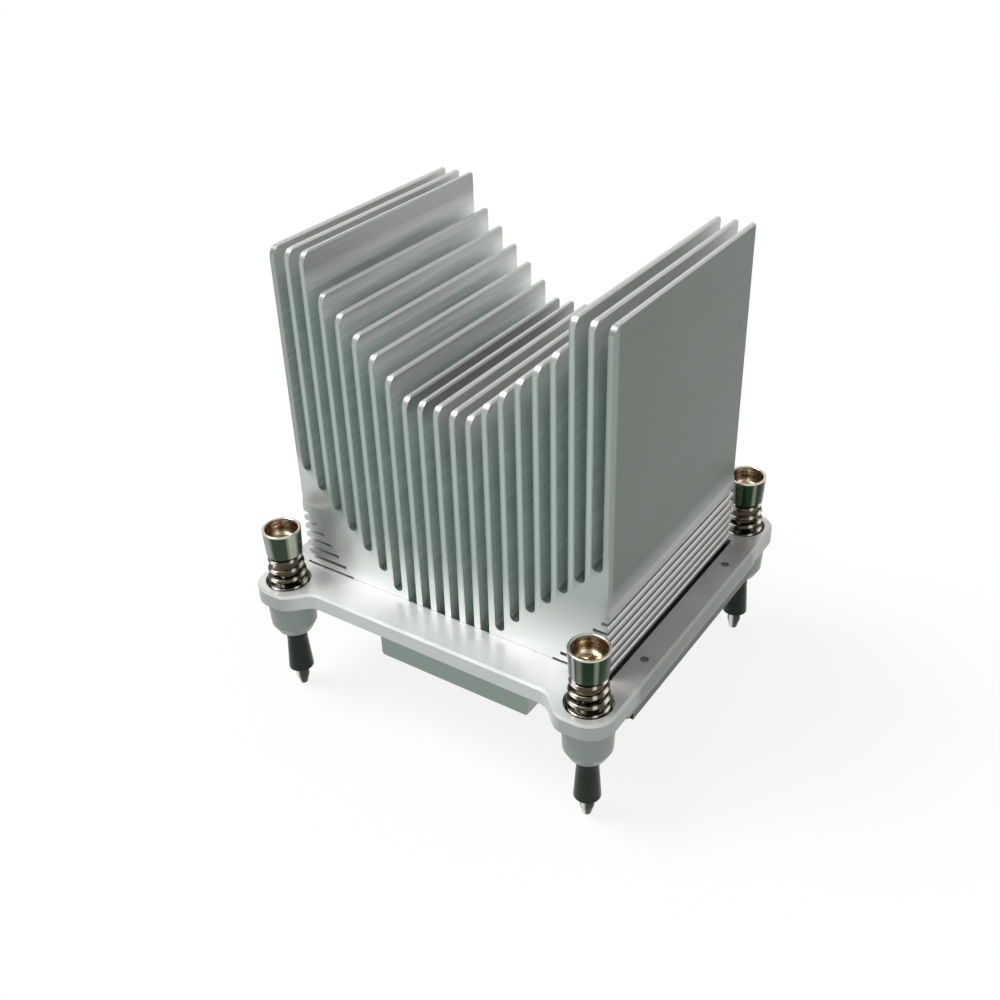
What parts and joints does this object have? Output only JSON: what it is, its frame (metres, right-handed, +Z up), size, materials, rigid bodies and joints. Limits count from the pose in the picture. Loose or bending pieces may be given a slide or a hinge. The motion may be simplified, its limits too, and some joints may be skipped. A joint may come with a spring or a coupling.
{
  "type": "passive server heatsink",
  "caption": "Passive heatsink for a server processor: an extruded aluminium fin block with a stepped notch in a flat cast frame, held by spring-loaded captive screws.",
  "frame": {"origin": "centre of the flat underside that presses on the processor", "axes": "+Z up along the fins, away from the processor; +Y along the fins, away from the viewer; +X across the fins, to the viewer's right"},
  "size_m": [0.0876, 0.0828, 0.1023],
  "materials": {
    "extruded_aluminium": "bare extruded aluminium, brushed sides, faint grey-green tone",
    "cast_frame": "nickel-plated casting, satin",
    "nickel": "polished nickel plate",
    "spring_steel": "bright nickel-plated spring wire",
    "black_sleeve": "black oxide, semi-matt",
    "fixing_steel": "zinc-plated steel"
  },
  "bodies": {
    "block_and_frame": {"heatsink_fin_block": "extruded_aluminium", "mounting_frame": "cast_frame", "screw_spring_front_left": "spring_steel", "screw_spring_front_right": "spring_steel", "screw_spring_rear_right": "spring_steel", "screw_spring_rear_left": "spring_steel", "frame_fixing_screw_front_left": "fixing_steel", "frame_fixing_screw_front_right": "fixing_steel", "frame_fixing_screw_rear_right": "fixing_steel", "frame_fixing_screw_rear_left": "fixing_steel"},
    "sleeve_front_left": {"retaining_sleeve_front_left": "black_sleeve"},
    "screw_front_left": {"captive_screw_front_left": "nickel"},
    "sleeve_front_right": {"retaining_sleeve_front_right": "black_sleeve"},
    "screw_front_right": {"captive_screw_front_right": "nickel"},
    "sleeve_rear_right": {"retaining_sleeve_rear_right": "black_sleeve"},
    "screw_rear_right": {"captive_screw_rear_right": "nickel"},
    "sleeve_rear_left": {"retaining_sleeve_rear_left": "black_sleeve"},
    "screw_rear_left": {"captive_screw_rear_left": "nickel"}
  },
  "joints": [
    {"name": "slide_front_left", "type": "slide", "parent": "block_and_frame", "child": "sleeve_front_left", "axis": [0, 0, 1], "range_m": [-0.0035, 0], "stiffness_N_per_m": 6000, "springref_m": 0.0015, "deforming": ["screw_spring_front_left"]},
    {"name": "turn_front_left", "type": "hinge", "parent": "sleeve_front_left", "child": "screw_front_left", "pos_m": [-0.0375, -0.0349, 0.0166], "axis": [0, 0, 1], "continuous": true},
    {"name": "slide_front_right", "type": "slide", "parent": "block_and_frame", "child": "sleeve_front_right", "axis": [0, 0, 1], "range_m": [-0.0035, 0], "stiffness_N_per_m": 6000, "springref_m": 0.0015, "deforming": ["screw_spring_front_right"]},
    {"name": "turn_front_right", "type": "hinge", "parent": "sleeve_front_right", "child": "screw_front_right", "pos_m": [0.0375, -0.0349, 0.0166], "axis": [0, 0, 1], "continuous": true},
    {"name": "slide_rear_right", "type": "slide", "parent": "block_and_frame", "child": "sleeve_rear_right", "axis": [0, 0, 1], "range_m": [-0.0035, 0], "stiffness_N_per_m": 6000, "springref_m": 0.0015, "deforming": ["screw_spring_rear_right"]},
    {"name": "turn_rear_right", "type": "hinge", "parent": "sleeve_rear_right", "child": "screw_rear_right", "pos_m": [0.0375, 0.0349, 0.0166], "axis": [0, 0, 1], "continuous": true},
    {"name": "slide_rear_left", "type": "slide", "parent": "block_and_frame", "child": "sleeve_rear_left", "axis": [0, 0, 1], "range_m": [-0.0035, 0], "stiffness_N_per_m": 6000, "springref_m": 0.0015, "deforming": ["screw_spring_rear_left"]},
    {"name": "turn_rear_left", "type": "hinge", "parent": "sleeve_rear_left", "child": "screw_rear_left", "pos_m": [-0.0375, 0.0349, 0.0166], "axis": [0, 0, 1], "continuous": true}
  ]
}
